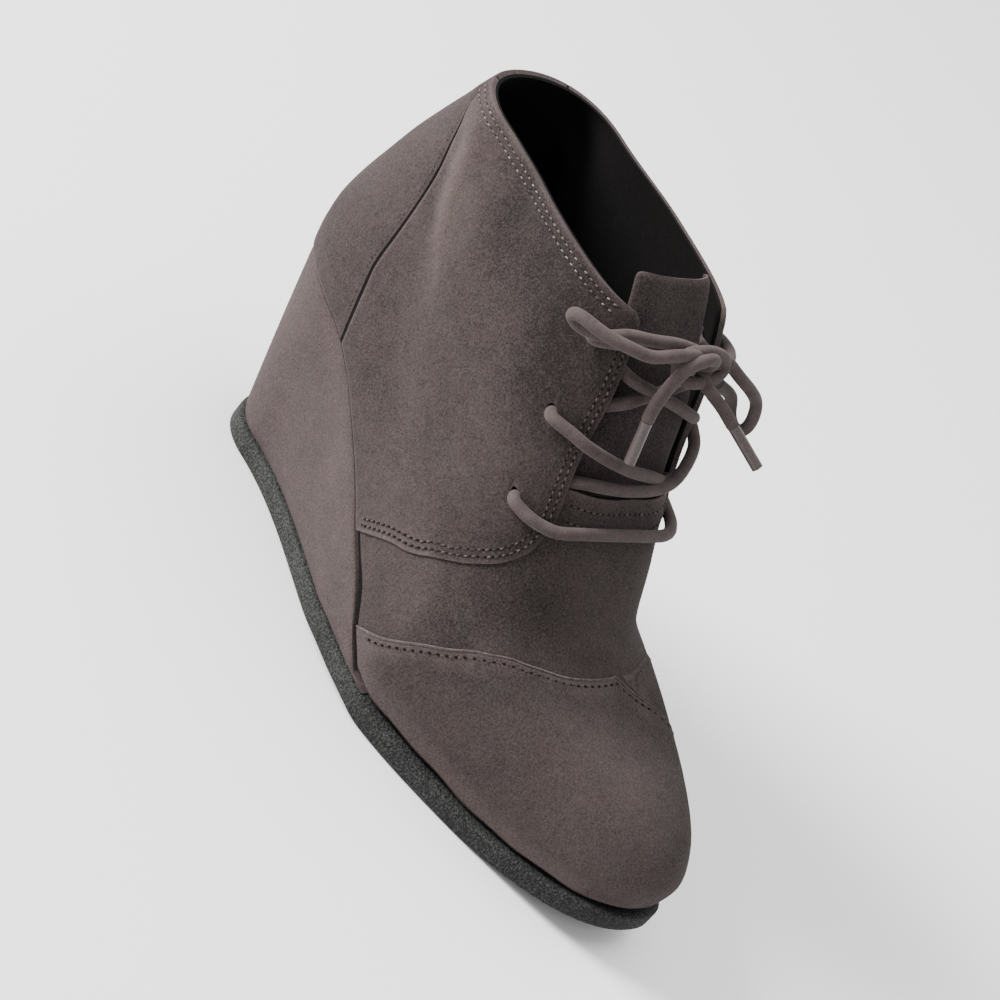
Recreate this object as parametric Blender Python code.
"""Lace-up wedge ankle shoe, right foot, as separate solids.

Metres, +X towards the toe, +Y towards the inner (medial) side, +Z up. The origin lies on the
floor under the middle of the heel. The upper, its panels, the tongue and the insole all come
from one surface, the last, which is a stack of closed rings from the feather line (where the
upper meets the sole) up to the collar.
"""
import math

import bmesh
import bpy
import numpy as np
from mathutils import Vector
from mathutils.geometry import delaunay_2d_cdt

# Overall sizes of the last
LENGTH = 0.241            # back of the heel to the tip of the toe
HEEL_CENTRE = 0.050       # back of the heel to the middle of the heel's seat, where X is 0
BALL_WIDTH = 0.088        # across the forefoot at the feather line
COLLAR_HEIGHT = 0.155     # floor to the collar at the back
HEEL_HEIGHT = 0.066       # floor to the feather line at the back
TOE_SWING = 0.005         # how far the toe tip lies to the medial side

# Outsole
OUTSOLE_THICKNESS = 0.0072
OUTSOLE_LIP = 0.0012      # how far the outsole stands out past the upper and the wedge
OUTSOLE_CHAMFER = 0.0007
TOE_SPRING = 0.0095
SPRING_POWER = 1.8        # how late the toe spring sets in
ARCH_RISE = 0.0010
ARCH_POWER = 4            # how flat the arch is in its middle

# Walls and clearances
GAP = 0.0003
PANEL_GAP = 0.0005
PANEL_THICKNESS = 0.0009
UPPER_DEPTH = PANEL_THICKNESS + PANEL_GAP      # the upper's outside lies this far under the last's surface
UPPER_WALL = 0.0016
INSOLE_THICKNESS = 0.0030
INSOLE_CLEARANCE = 0.0008
INSOLE_SEAT = 0.0006      # gap under the insole
TONGUE_THICKNESS = 0.0020
WEDGE_INSET = 0.0006
WEDGE_TIP_THICKNESS = 0.0008
WEDGE_TIP_RAMP = 0.014

# Laces
LACE_DIAMETER = 0.0040
EYELET_DIAMETER = 0.0046
CUTTER_LENGTH = 0.012
AGLET_LENGTH = 0.015
AGLET_DIAMETER = 0.0036
KNOT_LENGTH = 0.0140      # across the shoe
KNOT_WIDTH = 0.0110       # up the shoe
KNOT_DEPTH = 0.0090       # out from the shoe

# Mesh fineness
FRONT_COLUMNS = 8         # columns of the upper on each side: toe tip to the throat's edge
SIDE_COLUMNS = 20         # and from there to the back of the heel
HEEL_CROWDING = 1.25      # how much closer the columns lie at the heel
TOE_RINGS = 5
VAMP_RINGS = 8
THROAT_RINGS = 4
TOE_TOP_RISE = 0.27       # rise up to which the rings follow the toe
SLAB_STATIONS = 30
WEDGE_ROWS = 3
TONGUE_RINGS = 9
TONGUE_COLUMNS = 10
EYELET_SIDES = 12
TUBE_SPACING = 0.0070
TUBE_RESOLUTION = 2
FINE_SPACING = 0.0005
FINE_STEP = 4
KNOT_SEGMENTS = 10
KNOT_RINGS = 6
WELD_DISTANCE = 0.00002
PANEL_SPACING = 0.0052
RIM_CLEARANCE = 0.45      # of the panel spacing: the upper's nodes this near a panel's edge are left out
LAST_COLUMNS = 240        # of the last's table, on each side
LAST_ROWS = 132
LAST_TOP = 1.10           # rise of the last's highest ring
OUTLINE_STEPS = 600
ROUTE_STEPS = 12
FLAT_SCALE = np.array([0.23, 0.11])     # metres for one unit of around and of rise, laid flat
SHARP_ANGLE = math.radians(40)

# Colours and roughness
SUEDE = ((0.105, 0.083, 0.078), 0.95)
RUBBER = ((0.018, 0.019, 0.020), 0.70)
LINING = ((0.012, 0.011, 0.011), 0.85)
LACE = ((0.120, 0.098, 0.094), 0.85)
AGLET = ((0.30, 0.27, 0.25), 0.25)

# Rings of the last. Stations are shares of LENGTH from the back of the heel, widths are shares
# of BALL_WIDTH from the middle plane, and heights are shares of what lies between the sole and
# COLLAR_HEIGHT: over the outsole's tip in front, over HEEL_HEIGHT at the back. The last three
# columns are the roundness of the toe on each side and of the heel.
RING_COLUMNS = ("rise", "front", "front_height", "swing", "lateral_at", "lateral", "medial_at", "medial",
                "heel_at", "heel", "back", "back_height", "toe_lateral", "toe_medial", "heel_round")
RINGS = (
    (0.00, 1.000, 0.0026, 1.0, 0.602, 0.500, 0.690, 0.488, 0.183, 0.350, 0.017, 0.0000, 1.38, 1.68, 2.2),
    (0.08, 1.008, 0.0767, 1.0, 0.600, 0.514, 0.685, 0.494, 0.180, 0.358, 0.008, 0.1118, 1.42, 1.70, 2.2),
    (0.16, 0.988, 0.1441, 1.0, 0.595, 0.506, 0.665, 0.484, 0.180, 0.360, 0.005, 0.2076, 1.52, 1.75, 2.2),
    (0.24, 0.925, 0.2003, 1.1, 0.570, 0.478, 0.620, 0.462, 0.180, 0.358, 0.008, 0.2860, 1.70, 1.80, 2.2),
    (0.34, 0.813, 0.2306, 1.1, 0.540, 0.450, 0.560, 0.434, 0.180, 0.354, 0.014, 0.3730, 2.00, 2.00, 2.2),
    (0.44, 0.737, 0.2812, 0.9, 0.510, 0.420, 0.510, 0.412, 0.180, 0.350, 0.022, 0.4601, 2.40, 2.35, 2.2),
    (0.58, 0.672, 0.4272, 0.6, 0.460, 0.398, 0.460, 0.400, 0.180, 0.344, 0.035, 0.5960, 2.80, 2.85, 2.2),
    (0.72, 0.604, 0.6237, 0.6, 0.400, 0.380, 0.400, 0.384, 0.185, 0.336, 0.052, 0.7318, 3.00, 3.10, 2.2),
    (0.87, 0.562, 0.8046, 0.8, 0.360, 0.356, 0.360, 0.366, 0.190, 0.328, 0.071, 0.8676, 3.20, 3.30, 2.2),
    (1.00, 0.514, 0.9517, 1.0, 0.330, 0.336, 0.330, 0.352, 0.195, 0.318, 0.089, 1.0000, 3.20, 3.40, 2.2),
    (1.10, 0.476, 1.0505, 1.0, 0.310, 0.330, 0.310, 0.345, 0.200, 0.312, 0.104, 1.1010, 3.20, 3.40, 2.2),
)

# Lower edge of the outsole, with the ring's own columns
TREAD_RING = (0.00, 1.008, 0.0, 1.0, 0.615, 0.518, 0.690, 0.502, 0.175, 0.262, 0.084, 0.0, 1.38, 1.70, 2.2)

# Feather line along the wedge: station as a share of LENGTH, height as a share of HEEL_HEIGHT
FEATHER_LINE = (
    (0.010, 1.000),
    (0.090, 1.012),
    (0.175, 0.980),
    (0.235, 0.905),
    (0.307, 0.775),
    (0.370, 0.655),
    (0.432, 0.515),
    (0.485, 0.400),
    (0.540, 0.235),
)
WEDGE_TIP = 0.574         # station of the wedge's tip, a share of LENGTH

BEND_FADES_AT = 0.60      # rise at which the rings no longer follow the feather line's bend
BEND_SPREAD = 0.90        # how quickly that bend is rounded off with rise, a share of LENGTH

# Stations of the tread, shares of LENGTH
FLAT_HEEL_TO = 0.42
ARCH_AT = 0.54
ARCH_LENGTH = 0.07
FLAT_BALL_FROM = 0.65
SPRING_FROM = 0.80

# Edges of the panels, as (share of the way round from toe to heel, rise)
THROAT_RISE = 0.680
PANEL_FOOT = 0.008
FACING_EDGE = ((0.50, 0.158), (0.60, 0.156), (0.70, 0.153), (0.80, 0.154), (0.92, 0.157), (1.00, 0.166))
FACING_END = 0.640
QUARTER_CORNER = (0.166, 0.603)
QUARTER_LOWER = ((0.181, 0.566), (0.210, 0.520), (0.266, 0.442), (0.345, 0.335), (0.425, 0.240),
                 (0.505, 0.125), (0.566, PANEL_FOOT))
COUNTER_SEAM = ((0.775, PANEL_FOOT), (0.766, 0.15), (0.750, 0.32), (0.734, 0.50), (0.733, 0.62),
                (0.752, 0.75), (0.800, 0.86), (0.872, 1.000))
SEAM_HALF = 0.0016        # half the groove between two panels, as a share of the way round
CAP_SEAM_LATERAL = ((-0.462, PANEL_FOOT), (-0.425, 0.070), (-0.365, 0.158), (-0.272, 0.262), (-0.190, 0.340),
                    (-0.110, 0.395), (-0.040, 0.415), (0.018, 0.420))
CAP_SEAM_MEDIAL = ((0.018, 0.420), (0.060, 0.365), (0.112, 0.300), (0.165, 0.225), (0.193, 0.150),
                   (0.203, 0.080), (0.200, PANEL_FOOT))
GUSSET_BACK = ((0.034, 0.420), (0.095, 0.395), (0.175, 0.330), (0.255, 0.253), (0.345, 0.158), (0.405, 0.075),
               (0.440, PANEL_FOOT))

# Lace holes of one side, from the top, in the same two shares
EYELETS = ((0.246, 0.912), (0.242, 0.748), (0.246, 0.600))

# Tongue: rise, lateral and medial sides as shares of the way round, and how far it is sunk
TONGUE_FROM = 0.640
TONGUE_TO = 1.085
TONGUE_DIP = 0.004
TONGUE_SIDES = (
    (0.640, 0.185, 0.185, 0.0000),
    (0.800, 0.180, 0.178, 0.0006),
    (0.950, 0.176, 0.160, 0.0026),
    (1.085, 0.178, 0.148, 0.0045),
)

# Routes of the lace: around, rise, and height of its middle over the last in lace diameters.
# Each row is chosen by hand. A bar or crossing runs from over one lace hole to over another, or
# to the gap between the tongue and the facing.
LACE_BAR_LOW = (
    (-0.238, 0.602, 0.65), (-0.198, 0.608, 0.65), (-0.155, 0.622, 0.68), (-0.112, 0.640, 0.55),
    (-0.005, 0.650, 0.45), (0.090, 0.640, 0.58), (0.150, 0.622, 0.68), (0.200, 0.608, 0.65),
    (0.238, 0.602, 0.65),
)
LACE_CROSS_MIDDLE = (
    ((-0.235, 0.749, 0.65), (-0.190, 0.757, 0.65), (-0.150, 0.757, 0.68), (-0.068, 0.748, 0.45),
     (0.020, 0.733, 0.18), (0.065, 0.720, -0.22), (0.112, 0.706, -0.22)),
    ((-0.118, 0.704, -0.22), (-0.090, 0.708, -0.05), (-0.035, 0.711, 0.20), (0.030, 0.715, 0.42),
     (0.083, 0.727, 0.55), (0.150, 0.748, 0.70), (0.200, 0.752, 0.65), (0.235, 0.749, 0.65)),
)
LACE_CROSS_TOP = (
    ((-0.118, 0.893, -0.24), (-0.045, 0.880, 0.15), (0.020, 0.862, 0.15), (0.060, 0.848, -0.05),
     (0.108, 0.828, -0.24)),
    ((-0.118, 0.856, -0.24), (-0.098, 0.868, -0.24), (-0.050, 0.886, -0.22), (0.010, 0.905, -0.05),
     (0.070, 0.921, -0.02), (0.108, 0.932, -0.02)),
)
LACE_RUN_LATERAL = (
    (-0.238, 0.912, 0.65), (-0.200, 0.918, 0.68), (-0.150, 0.927, 0.72), (-0.100, 0.935, 1.00),
    (-0.065, 0.938, 1.20), (-0.046, 0.940, 1.35),
)
LACE_RUN_MEDIAL = (
    (0.238, 0.912, 0.65), (0.200, 0.924, 0.68), (0.155, 0.936, 0.75), (0.110, 0.944, 0.92),
    (0.070, 0.948, 1.10), (0.042, 0.950, 1.25),
)
LACE_KNOT = (-0.004, 0.947, 1.9)
LACE_LOOP_LATERAL = (
    (-0.043, 0.967, 2.45), (-0.085, 0.967, 3.00), (-0.122, 0.960, 3.15), (-0.155, 0.945, 3.25),
    (-0.188, 0.943, 3.30), (-0.218, 0.940, 3.30), (-0.247, 0.940, 3.25), (-0.272, 0.938, 3.05),
    (-0.285, 0.922, 2.55), (-0.277, 0.912, 2.00), (-0.255, 0.912, 1.75), (-0.218, 0.932, 1.70),
    (-0.190, 0.958, 1.70), (-0.150, 0.968, 1.60), (-0.095, 0.976, 1.55), (-0.042, 0.970, 1.42),
)
LACE_LOOP_MEDIAL = (
    (0.042, 0.957, 2.47), (0.070, 0.935, 2.88), (0.097, 0.912, 3.38), (0.127, 0.880, 3.75),
    (0.125, 0.858, 3.88), (0.123, 0.840, 3.75), (0.123, 0.825, 3.25), (0.123, 0.835, 2.50),
    (0.125, 0.855, 2.00), (0.113, 0.885, 1.85), (0.041, 0.921, 1.92),
)
LACE_END_LATERAL = (
    (-0.046, 0.940, 2.58), (-0.093, 0.935, 2.90), (-0.103, 0.917, 2.80), (-0.107, 0.895, 2.55),
    (-0.107, 0.875, 2.25), (-0.105, 0.855, 2.00), (-0.093, 0.770, 1.68),
)
LACE_END_MEDIAL = (
    (0.005, 0.914, 1.95), (0.020, 0.902, 2.62), (0.032, 0.887, 3.42), (0.046, 0.867, 4.40),
    (0.069, 0.823, 6.65),
)


def smooth_curve(stations, values, at):
    """Smooth interpolation through a few rows, without overshoot (Fritsch and Carlson's rule)."""
    stations, values = np.asarray(stations, float), np.asarray(values, float)
    steps = np.diff(stations)
    slopes = np.diff(values) / steps
    tangents = np.empty_like(values)
    tangents[0], tangents[-1] = slopes[0], slopes[-1]
    for i in range(1, len(values) - 1):
        if slopes[i - 1] * slopes[i] <= 0:
            tangents[i] = 0.0
        else:
            before, after = 2 * steps[i] + steps[i - 1], steps[i] + 2 * steps[i - 1]
            tangents[i] = (before + after) / (before / slopes[i - 1] + after / slopes[i])
    at = np.clip(np.asarray(at, float), stations[0], stations[-1])
    cell = np.clip(np.searchsorted(stations, at, side="right") - 1, 0, len(steps) - 1)
    u = (at - stations[cell]) / steps[cell]
    start, end = values[cell], values[cell + 1]
    out = start * (2 * u**3 - 3 * u**2 + 1) + end * (3 * u**2 - 2 * u**3)
    out += steps[cell] * (tangents[cell] * (u**3 - 2 * u**2 + u) + tangents[cell + 1] * (u**3 - u**2))
    return out


def station_x(share):
    """World X of a station given as a share of LENGTH from the back of the heel."""
    return share * LENGTH - HEEL_CENTRE


def tread_height(x):
    """Underside of the outsole: flat heel, slight arch, flat ball, toe spring."""
    share = (x + HEEL_CENTRE) / LENGTH
    arch = ARCH_RISE * np.exp(-((share - ARCH_AT) / ARCH_LENGTH) ** ARCH_POWER)
    spring = np.clip((share - SPRING_FROM) / (1.0 - SPRING_FROM), 0, None)
    return arch * (share > FLAT_HEEL_TO) * (share < FLAT_BALL_FROM) + TOE_SPRING * spring ** SPRING_POWER


def outsole_top(x):
    """Top of the outsole, on which the wedge and the forefoot lie."""
    return tread_height(x) + OUTSOLE_THICKNESS


def feather_height(x):
    """Height of the feather line at X: along the wedge, then along the top of the outsole."""
    rows = np.array(FEATHER_LINE)
    tip = station_x(WEDGE_TIP)
    over_tip = 2 * GAP + WEDGE_TIP_THICKNESS
    past = np.maximum(x - tip, 0)
    rest = outsole_top(tip + past) + GAP + (over_tip - GAP) * np.exp(-past / WEDGE_TIP_RAMP)
    stations = np.append(station_x(rows[:, 0]), tip)
    heights = np.append(rows[:, 1] * HEEL_HEIGHT, outsole_top(tip) + over_tip)
    return np.where(x < tip, smooth_curve(stations, heights, x), rest)


def ring_at(rise):
    """The ring's row at any rise, in metres and as a dict of its columns."""
    table = np.array(RINGS)
    row = {name: float(smooth_curve(table[:, 0], table[:, i], rise))
           for i, name in enumerate(RING_COLUMNS)}
    return scaled_ring(row)


def scaled_ring(row):
    """A ring's row of shares, turned into metres."""
    row = dict(row)
    for name in ("front", "back", "lateral_at", "medial_at", "heel_at"):
        row[name] = float(station_x(row[name]))
    for name in ("lateral", "medial", "heel"):
        row[name] = row[name] * BALL_WIDTH
    tip = TOE_SPRING + OUTSOLE_THICKNESS + GAP
    row["front_height"] = tip + row["front_height"] * (COLLAR_HEIGHT - tip)
    row["back_height"] = HEEL_HEIGHT + row["back_height"] * (COLLAR_HEIGHT - HEEL_HEIGHT)
    row["swing"] *= TOE_SWING
    return row


def half_outline(ring, side, x):
    """Y of a ring's outline at X on one side: -1 lateral, +1 medial."""
    ball_x, ball = (ring["lateral_at"], ring["lateral"]) if side < 0 else (ring["medial_at"], ring["medial"])
    toe_round = ring["toe_lateral"] if side < 0 else ring["toe_medial"]
    heel_x, heel = ring["heel_at"], ring["heel"]
    ahead = np.clip((x - ball_x) / (ring["front"] - ball_x), 0, 1)
    power = np.maximum(toe_round, toe_round + (2 - toe_round) * ahead ** 4)
    toe = (1 - ahead ** power) ** (1 / power)
    behind = np.clip((heel_x - x) / (heel_x - ring["back"]), 0, 1)
    end = (1 - behind ** ring["heel_round"]) ** (1 / ring["heel_round"])
    u = np.clip((x - heel_x) / (ball_x - heel_x), 0, 1)
    body = heel + (ball - heel) * u * u * (3 - 2 * u)
    front = side * ball * toe + ring["swing"] * (1 - toe)
    return np.where(x > ball_x, front, side * body * end)


def ring_height(ring, rise, x):
    """Height along a ring: straight from back to front, bent towards the feather line low down."""
    s = np.clip((x - ring["back"]) / (ring["front"] - ring["back"]), 0, 1)
    straight = ring["back_height"] + (ring["front_height"] - ring["back_height"]) * s
    foot = ring_at(0.0) if rise > 0 else ring
    foot_x = foot["back"] + (foot["front"] - foot["back"]) * s
    foot_back, foot_front = feather_height(foot["back"]), feather_height(foot["front"])
    bend = feather_height(foot_x) - (foot_back + (foot_front - foot_back) * s)
    hold = max(0.0, 1 - rise / BEND_FADES_AT) ** 2
    if rise == 0:
        return feather_height(x)
    return straight + hold * bend


def ring_points(rise, count):
    """One ring as points evenly spaced on each side: heel, lateral side, toe, medial side, heel."""
    ring = ring_at(rise)
    angle = np.linspace(0, math.pi, OUTLINE_STEPS)
    x = ring["front"] + (ring["back"] - ring["front"]) * (1 - np.cos(angle)) / 2
    z = ring_height(ring, rise, x)
    sides = []
    for side in (-1, 1):
        y = half_outline(ring, side, x)
        path = np.stack([x, y, z], 1)
        run = np.append(0, np.cumsum(np.linalg.norm(np.diff(path, axis=0), axis=1)))
        even = np.linspace(0, run[-1], count + 1)
        sides.append(np.stack([np.interp(even, run, path[:, k]) for k in range(3)], 1))
    return np.concatenate([sides[0][::-1], sides[1][1:]])


class Last:
    """The last's surface as a fine table, read at (around, rise) and an offset along its normal.

    around runs from -1 at the back of the heel along the lateral side to 0 at the toe or the
    front of the ankle, and on along the medial side to +1. rise is 0 at the feather line and
    1 at the collar.
    """

    def __init__(self, columns=LAST_COLUMNS, rows=LAST_ROWS, top=LAST_TOP):
        self.columns, self.rows, self.top = columns, rows, top
        self.points = np.array([ring_points(top * i / rows, columns) for i in range(rows + 1)])
        across = np.empty_like(self.points)
        across[:, 1:-1] = self.points[:, 2:] - self.points[:, :-2]
        across[:, 0] = across[:, -1] = self.points[:, 1] - self.points[:, -2]
        along = np.gradient(self.points, axis=0)
        normals = np.cross(across, along)
        self.normals = normals / np.linalg.norm(normals, axis=2, keepdims=True)

    def read(self, table, around, rise):
        turn = (np.asarray(around, float) + 1) % 2
        column = np.clip(turn * self.columns, 0, 2 * self.columns - 1e-9)
        row = np.clip(np.asarray(rise) / self.top * self.rows, 0, self.rows - 1e-9)
        c, r = column.astype(int), row.astype(int)
        u, v = (column - c)[..., None], (row - r)[..., None]
        low = table[r, c] * (1 - u) + table[r, c + 1] * u
        high = table[r + 1, c] * (1 - u) + table[r + 1, c + 1] * u
        return low * (1 - v) + high * v

    def at(self, around, rise, offset=0.0):
        normal = self.read(self.normals, around, rise)
        normal = normal / np.linalg.norm(normal, axis=-1, keepdims=True)
        return self.read(self.points, around, rise) + normal * np.asarray(offset)[..., None]


def grown(ring, by):
    """A ring's row set outwards by a distance all round."""
    ring = dict(ring)
    for name in ("front", "lateral", "medial", "heel"):
        ring[name] += by
    ring["back"] -= by
    return ring


def between(low, high, share):
    return {name: low[name] + (high[name] - low[name]) * share for name in low}


def new_material(name, colour, roughness):
    material = bpy.data.materials.new(name)
    material.use_nodes = True
    shader = material.node_tree.nodes["Principled BSDF"]
    shader.inputs["Base Color"].default_value = (*colour, 1.0)
    shader.inputs["Roughness"].default_value = roughness
    shader.inputs["Metallic"].default_value = 0.0
    material.diffuse_color = (*colour, 1.0)
    return material


def new_object(name, points, faces, look):
    """A named solid from points and faces, with its own material."""
    mesh = bpy.data.meshes.new(name)
    mesh.from_pydata([tuple(p) for p in points], [], [tuple(f) for f in faces])
    work = bmesh.new()
    work.from_mesh(mesh)
    bmesh.ops.recalc_face_normals(work, faces=work.faces)
    work.to_mesh(mesh)
    work.free()
    mesh.shade_smooth()
    mesh.set_sharp_from_angle(angle=SHARP_ANGLE)
    piece = bpy.data.objects.new(name, mesh)
    mesh.materials.append(new_material(name, *look))
    parts.objects.link(piece)
    return piece


def layered(name, outer, inner, faces, look):
    """A wall between two layers of points that share one list of faces, closed along its rim."""
    count = len(outer)
    sides = {}
    for face in faces:
        for start, end in zip(face, face[1:] + face[:1]):
            sides[(start, end)] = sides.get((start, end), 0) + 1
    rim = [edge for edge in sides if (edge[1], edge[0]) not in sides]
    walls = [(b, a, a + count, b + count) for a, b in rim]
    backs = [tuple(i + count for i in reversed(face)) for face in faces]
    return new_object(name, np.concatenate([outer, inner]), list(faces) + backs + walls, look)


def column_shares(edge):
    """Shares of the way round of the upper's columns, on one side, with one on the throat's edge."""
    front = np.linspace(0, edge, FRONT_COLUMNS + 1)
    back = edge + (1 - edge) * (1 - (1 - np.linspace(0, 1, SIDE_COLUMNS + 1)) ** HEEL_CROWDING)
    return np.concatenate([front, back[1:]])


def upper_rises():
    return np.concatenate([np.linspace(0, TOE_TOP_RISE, TOE_RINGS + 1),
                           np.linspace(TOE_TOP_RISE, THROAT_RISE, VAMP_RINGS + 1)[1:],
                           np.linspace(THROAT_RISE, 1.0, THROAT_RINGS + 1)[1:]])


def throat_edge(rise):
    """Where the facing's edge lies, as a share of the way round, the same on both sides."""
    rows = np.array(FACING_EDGE)
    return smooth_curve(rows[:, 0], rows[:, 1], rise)


def upper_nodes():
    """(around, rise) of the upper's grid, ring by ring, from the heel round the lateral side."""
    nodes = []
    for rise in upper_rises():
        shares = column_shares(float(throat_edge(max(rise, THROAT_RISE))))
        nodes.append([(share, rise) for share in np.concatenate([-shares[::-1], shares[1:-1]])])
    return np.array(nodes)


def make_upper():
    """The hollow shell: open at the collar, down the throat and underneath."""
    nodes = upper_nodes()
    rings, columns = nodes.shape[:2]
    flat = nodes.reshape(-1, 2)
    outer = last.at(flat[:, 0], flat[:, 1], -UPPER_DEPTH)
    inner = last.at(flat[:, 0], flat[:, 1], -UPPER_DEPTH - UPPER_WALL)
    inner[:columns, 2] = outer[:columns, 2]
    middle = FRONT_COLUMNS + SIDE_COLUMNS
    faces = []
    for ring in range(rings - 1):
        for column in range(columns):
            in_throat = middle - FRONT_COLUMNS <= column < middle + FRONT_COLUMNS
            if in_throat and flat[ring * columns, 1] >= THROAT_RISE - 1e-9:
                continue
            after = (column + 1) % columns
            faces.append((ring * columns + column, ring * columns + after,
                          (ring + 1) * columns + after, (ring + 1) * columns + column))
    used = sorted({i for face in faces for i in face})
    place = {old: new for new, old in enumerate(used)}
    faces = [tuple(place[i] for i in face) for face in faces]
    return layered("upper", outer[used], inner[used], faces, SUEDE)


def smooth_path(points, spacing):
    """A smooth path through (around, rise) points, as evenly spaced points without the last one."""
    points = np.asarray(points, float)
    flat = points * FLAT_SCALE
    run = np.append(0, np.cumsum(np.linalg.norm(np.diff(flat, axis=0), axis=1)))
    count = max(1, round(run[-1] / spacing))
    even = np.linspace(0, run[-1], count + 1)[:-1]
    return np.stack([smooth_curve(run, points[:, k], even) for k in range(2)], 1)


def inside(outline, point):
    """Whether a point lies inside a closed outline, by counting crossings."""
    x, y = point
    ax, ay = outline[:, 0], outline[:, 1]
    bx, by = np.roll(ax, -1), np.roll(ay, -1)
    crosses = (ay > y) != (by > y)
    reach = ax + (y - ay) / np.where(by == ay, 1.0, by - ay) * (bx - ax)
    return np.count_nonzero(crosses & (x < reach)) % 2 == 1


def fill_panel(outline):
    """Points and triangles that fill an outline on the last, with the upper's own nodes inside it."""
    nodes = upper_nodes().reshape(-1, 2)
    nodes = np.concatenate([nodes, nodes + [2, 0], nodes - [2, 0]])
    flat = outline * FLAT_SCALE
    kept = []
    for node in nodes:
        near = np.min(np.linalg.norm(flat - node * FLAT_SCALE, axis=1))
        if near > PANEL_SPACING * RIM_CLEARANCE and inside(outline, node):
            kept.append(node * FLAT_SCALE)
    corners = [Vector(p) for p in np.concatenate([flat, kept] if kept else [flat])]
    count = len(flat)
    edges = [(i, (i + 1) % count) for i in range(count)]
    found, _, faces, _, _, _ = delaunay_2d_cdt(corners, edges, [], 1, 1e-6)
    return np.array([tuple(p) for p in found]) / FLAT_SCALE, [tuple(face) for face in faces]


def make_panel(name, edges):
    """A panel between two forms of the last's surface, bounded by smooth edges laid end to end."""
    outline = np.concatenate([smooth_path(edge, PANEL_SPACING) for edge in edges])
    nodes, faces = fill_panel(outline)
    outer = last.at(nodes[:, 0], nodes[:, 1], 0.0)
    inner = last.at(nodes[:, 0], nodes[:, 1], -PANEL_THICKNESS)
    return layered(name, outer, inner, faces, SUEDE)


def side_of(points, side):
    return [(side * around, rise) for around, rise in points]


def make_quarter(name, side):
    facing = [(float(throat_edge(rise)), rise) for rise in np.linspace(1.0, FACING_END, 6)]
    low = list(QUARTER_LOWER)
    front = facing + [QUARTER_CORNER, low[0]]
    seam = [(around - SEAM_HALF, rise) for around, rise in COUNTER_SEAM]
    foot = [low[-1], (seam[0][0], PANEL_FOOT)]
    collar = [seam[-1], facing[0]]
    edges = [front, low, foot, seam, collar]
    return make_panel(name, [side_of(edge, side) for edge in edges])


def make_counter():
    seam = [(around + SEAM_HALF, rise) for around, rise in COUNTER_SEAM]
    other = [(2 - around, rise) for around, rise in reversed(seam)]
    foot = [other[-1], seam[0]]
    collar = [seam[-1], other[0]]
    return make_panel("heel_counter", [seam, collar, other, foot])


def make_toe_cap():
    lateral = list(CAP_SEAM_LATERAL)
    medial = list(CAP_SEAM_MEDIAL)
    foot = [medial[-1], (0.0, PANEL_FOOT), lateral[0]]
    return make_panel("toe_cap", [lateral, medial, foot])


def make_side_gusset():
    """The small panel low on the medial side, between the vamp and the toe cap."""
    front = [(around + 2 * SEAM_HALF, rise) for around, rise in CAP_SEAM_MEDIAL[1:]]
    back = list(GUSSET_BACK)
    return make_panel("side_gusset", [[front[-1], back[-1]], list(reversed(back)), front])


def slab(name, rows, ends_at, look):
    """A solid of flat-bottomed rows, each a ring's row and its height over X.

    ends_at is 1 for a whole outline, or the share of the way from back to front where the
    solid ends in a straight front edge.
    """
    turn = np.linspace(0, math.pi if ends_at == 1 else math.acos(1 - 2 * ends_at), SLAB_STATIONS + 1)
    shares = (1 - np.cos(turn)) / 2
    points = []
    for ring, height in rows:
        x = ring["back"] + (ring["front"] - ring["back"]) * shares
        lateral = np.stack([x, half_outline(ring, -1, x), height(x)], 1)
        medial = np.stack([x, half_outline(ring, 1, x), height(x)], 1)
        end = -1 if ends_at == 1 else None
        points.append(np.concatenate([lateral, medial[1:end][::-1]]))
    count = len(points[0])
    faces = []
    for row in range(len(rows) - 1):
        for i in range(count):
            after = (i + 1) % count
            faces.append((row * count + i, row * count + after, (row + 1) * count + after,
                          (row + 1) * count + i))
    for row, turned in ((0, True), (len(rows) - 1, False)):
        for i in range(SLAB_STATIONS):
            strip = [i, i + 1, (count - i - 1) % count, (count - i) % count]
            strip = [row * count + k for k in dict.fromkeys(strip)]
            faces.append(tuple(reversed(strip)) if turned else tuple(strip))
    return new_object(name, np.concatenate(points), faces, look)


def make_outsole():
    tread = scaled_ring(dict(zip(RING_COLUMNS, TREAD_RING)))
    inset = grown(tread, -OUTSOLE_CHAMFER)
    rows = [
        (inset, tread_height),
        (tread, lambda x: tread_height(x) + OUTSOLE_CHAMFER),
        (tread, lambda x: outsole_top(x) - OUTSOLE_CHAMFER),
        (inset, outsole_top),
    ]
    return slab("outsole", rows, 1, RUBBER)


def make_wedge():
    foot = grown(scaled_ring(dict(zip(RING_COLUMNS, TREAD_RING))), -OUTSOLE_LIP)
    head = grown(ring_at(0.0), -WEDGE_INSET)
    rows = []
    for share in np.linspace(0, 1, WEDGE_ROWS + 1):
        def height(x, share=share):
            low, high = outsole_top(x) + GAP, feather_height(x) - GAP
            return low + (high - low) * share
        rows.append((between(foot, head, share), height))
    tip = (station_x(WEDGE_TIP) - head["back"]) / (head["front"] - head["back"])
    return slab("wedge", rows, tip, SUEDE)


def make_insole():
    edge = grown(ring_at(0.0), -UPPER_DEPTH - UPPER_WALL - INSOLE_CLEARANCE)
    rows = [(edge, lambda x: feather_height(x) + INSOLE_SEAT),
            (edge, lambda x: feather_height(x) + INSOLE_SEAT + INSOLE_THICKNESS)]
    return slab("insole", rows, 1, LINING)


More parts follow.
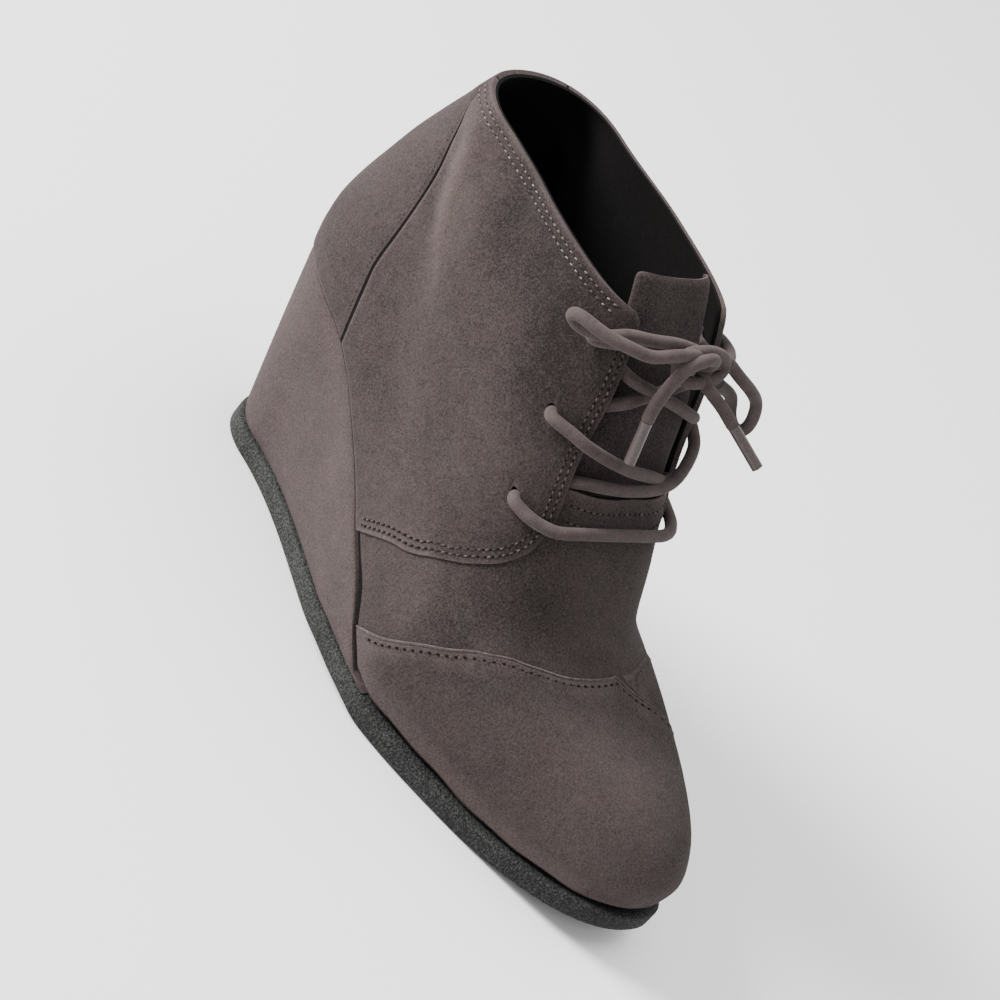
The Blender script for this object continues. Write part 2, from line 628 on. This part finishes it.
def make_tongue():
    rises = np.linspace(TONGUE_FROM, TONGUE_TO, TONGUE_RINGS + 1)
    rows = np.array(TONGUE_SIDES)
    across = np.linspace(-1, 1, TONGUE_COLUMNS + 1)
    nodes, depth = [], []
    for rise in rises:
        lateral, medial = (float(smooth_curve(rows[:, 0], rows[:, k], rise)) for k in (1, 2))
        dip = TONGUE_DIP * (rise - TONGUE_FROM) / (TONGUE_TO - TONGUE_FROM)
        sunk = float(smooth_curve(rows[:, 0], rows[:, 3], rise))
        for u in across:
            nodes.append((lateral * min(u, 0) + medial * max(u, 0), rise - dip * (1 - u * u)))
            depth.append(UPPER_DEPTH + UPPER_WALL + PANEL_GAP + sunk)
    nodes, depth = np.array(nodes), np.array(depth)
    outer = last.at(nodes[:, 0], nodes[:, 1], -depth)
    inner = last.at(nodes[:, 0], nodes[:, 1], -depth - TONGUE_THICKNESS)
    wide = TONGUE_COLUMNS + 1
    faces = [(r * wide + c, r * wide + c + 1, (r + 1) * wide + c + 1, (r + 1) * wide + c)
             for r in range(TONGUE_RINGS) for c in range(TONGUE_COLUMNS)]
    return layered("tongue", outer, inner, faces, SUEDE)


def punch_eyelets(pieces):
    """Cut the three lace holes of each side square through the panel and the upper."""
    for side, label in ((-1, "lateral"), (1, "medial")):
        for number, (around, rise) in enumerate(EYELETS, 1):
            at = last.at(side * around, rise, 0.0)
            normal = Vector(last.at(side * around, rise, 1.0) - at)
            bpy.ops.mesh.primitive_cylinder_add(vertices=EYELET_SIDES, radius=EYELET_DIAMETER / 2,
                                                depth=CUTTER_LENGTH, location=Vector(at))
            cutter = bpy.context.object
            cutter.name = f"eyelet_cutter_{label}_{number}"
            cutter.rotation_mode = "QUATERNION"
            cutter.rotation_quaternion = normal.to_track_quat("Z", "Y")
            cutter.hide_render = True
            cutter.display_type = "WIRE"
            for holder in list(cutter.users_collection):
                holder.objects.unlink(cutter)
            cutters.objects.link(cutter)
            for piece in (pieces["upper"], pieces["quarter_" + label]):
                cut = piece.modifiers.new(f"eyelet {label} {number}", "BOOLEAN")
                cut.operation = "DIFFERENCE"
                cut.object = cutter


def lace_route(rows):
    """World points of a lace's route on the last."""
    rows = np.array(rows)
    return last.at(rows[:, 0], rows[:, 1], rows[:, 2] * LACE_DIAMETER)


def smooth_route(points, spacing):
    """Evenly spaced points on the Catmull-Rom curve through a route's points."""
    padded = np.concatenate([[2 * points[0] - points[1]], points, [2 * points[-1] - points[-2]]])
    u = np.linspace(0, 1, ROUTE_STEPS, endpoint=False)[:, None]
    legs = []
    for a, b, c, d in zip(padded, padded[1:], padded[2:], padded[3:]):
        legs.append(0.5 * (2 * b + (c - a) * u + (2 * a - 5 * b + 4 * c - d) * u**2
                           + (3 * b - a - 3 * c + d) * u**3))
    fine = np.concatenate(legs + [points[-1:]])
    run = np.append(0, np.cumsum(np.linalg.norm(np.diff(fine, axis=0), axis=1)))
    even = np.linspace(0, run[-1], max(2, round(run[-1] / spacing)) + 1)
    return np.stack([np.interp(even, run, fine[:, k]) for k in range(3)], 1)


def make_tube(name, points, diameter=LACE_DIAMETER, look=LACE):
    """A round cord through evenly spaced points."""
    curve = bpy.data.curves.new(name, "CURVE")
    curve.dimensions = "3D"
    curve.bevel_depth = diameter / 2
    curve.bevel_resolution = TUBE_RESOLUTION
    curve.use_fill_caps = True
    spline = curve.splines.new("POLY")
    spline.points.add(len(points) - 1)
    for node, point in zip(spline.points, points):
        node.co = (*point, 1.0)
    curve.materials.append(new_material(name, *look))
    piece = bpy.data.objects.new(name, curve)
    parts.objects.link(piece)
    return piece


def make_cord(name, rows):
    return make_tube(name, smooth_route(lace_route(rows), TUBE_SPACING))


def as_mesh(piece):
    """A tube's mesh, with its caps welded, in place of the curve."""
    name = piece.name
    graph = bpy.context.evaluated_depsgraph_get()
    mesh = bpy.data.meshes.new_from_object(piece.evaluated_get(graph))
    work = bmesh.new()
    work.from_mesh(mesh)
    bmesh.ops.remove_doubles(work, verts=work.verts, dist=WELD_DISTANCE)
    work.to_mesh(mesh)
    work.free()
    mesh.shade_smooth()
    mesh.set_sharp_from_angle(angle=SHARP_ANGLE)
    solid = bpy.data.objects.new(name + "_solid", mesh)
    solid.matrix_world = piece.matrix_world
    parts.objects.link(solid)
    bpy.data.objects.remove(piece, do_unlink=True)
    solid.name = name
    return solid


def make_crossing(name, routes):
    """Two strands of the lace that cross, joined into one solid."""
    base = as_mesh(make_cord(name, routes[0]))
    over = as_mesh(make_cord(name + "_strand", routes[1]))
    parts.objects.unlink(over)
    cutters.objects.link(over)
    over.hide_render = True
    over.display_type = "WIRE"
    union = base.modifiers.new("strands", "BOOLEAN")
    union.operation = "UNION"
    union.object = over


def make_knot():
    """The bow's knot, a rounded lump whose long side lies across the shoe."""
    around, rise, height = LACE_KNOT
    centre = last.at(around, rise, height * LACE_DIAMETER)
    out = Vector(last.at(around, rise, 1.0) - last.at(around, rise, 0.0))
    bpy.ops.mesh.primitive_uv_sphere_add(segments=KNOT_SEGMENTS, ring_count=KNOT_RINGS, radius=0.5,
                                         location=Vector(centre))
    knot = bpy.context.object
    knot.name = "lace_knot"
    knot.scale = (KNOT_LENGTH, KNOT_WIDTH, KNOT_DEPTH)
    knot.rotation_mode = "QUATERNION"
    knot.rotation_quaternion = out.to_track_quat("Z", "Y")
    knot.data.materials.append(new_material("lace_knot", *LACE))
    knot.data.shade_smooth()
    for holder in list(knot.users_collection):
        holder.objects.unlink(knot)
    parts.objects.link(knot)


def make_end(side, rows):
    """A free end of the lace, and the straight aglet that reaches to the route's last row."""
    fine = smooth_route(lace_route(rows), FINE_SPACING)
    whole = np.linalg.norm(fine - fine[-1], axis=1) > AGLET_LENGTH
    cord = smooth_route(fine[whole][::FINE_STEP], TUBE_SPACING)
    make_tube("lace_end_" + side, cord)
    along = (fine[-1] - cord[-1]) / np.linalg.norm(fine[-1] - cord[-1])
    start = cord[-1] + along * GAP
    make_tube("aglet_" + side, np.stack([start, fine[-1]]), AGLET_DIAMETER, AGLET)


def make_lace():
    """The whole lace, from the bar over the lowest holes to the bow."""
    as_mesh(make_cord("lace_bar_low", LACE_BAR_LOW))
    make_crossing("lace_cross_middle", LACE_CROSS_MIDDLE)
    make_crossing("lace_cross_top", LACE_CROSS_TOP)
    make_cord("lace_run_lateral", LACE_RUN_LATERAL)
    make_cord("lace_run_medial", LACE_RUN_MEDIAL)
    make_knot()
    make_cord("lace_loop_lateral", LACE_LOOP_LATERAL)
    make_cord("lace_loop_medial", LACE_LOOP_MEDIAL)
    make_end("lateral", LACE_END_LATERAL)
    make_end("medial", LACE_END_MEDIAL)


for old in list(bpy.data.objects):
    bpy.data.objects.remove(old, do_unlink=True)
parts = bpy.data.collections.new("wedge_shoe")
cutters = bpy.data.collections.new("cutters")
for collection in (parts, cutters):
    bpy.context.scene.collection.children.link(collection)

last = Last()
make_outsole()
make_wedge()
make_insole()
pieces = {"upper": make_upper()}
make_tongue()
pieces["quarter_lateral"] = make_quarter("quarter_lateral", -1)
pieces["quarter_medial"] = make_quarter("quarter_medial", 1)
make_counter()
make_toe_cap()
make_side_gusset()
punch_eyelets(pieces)
make_lace()
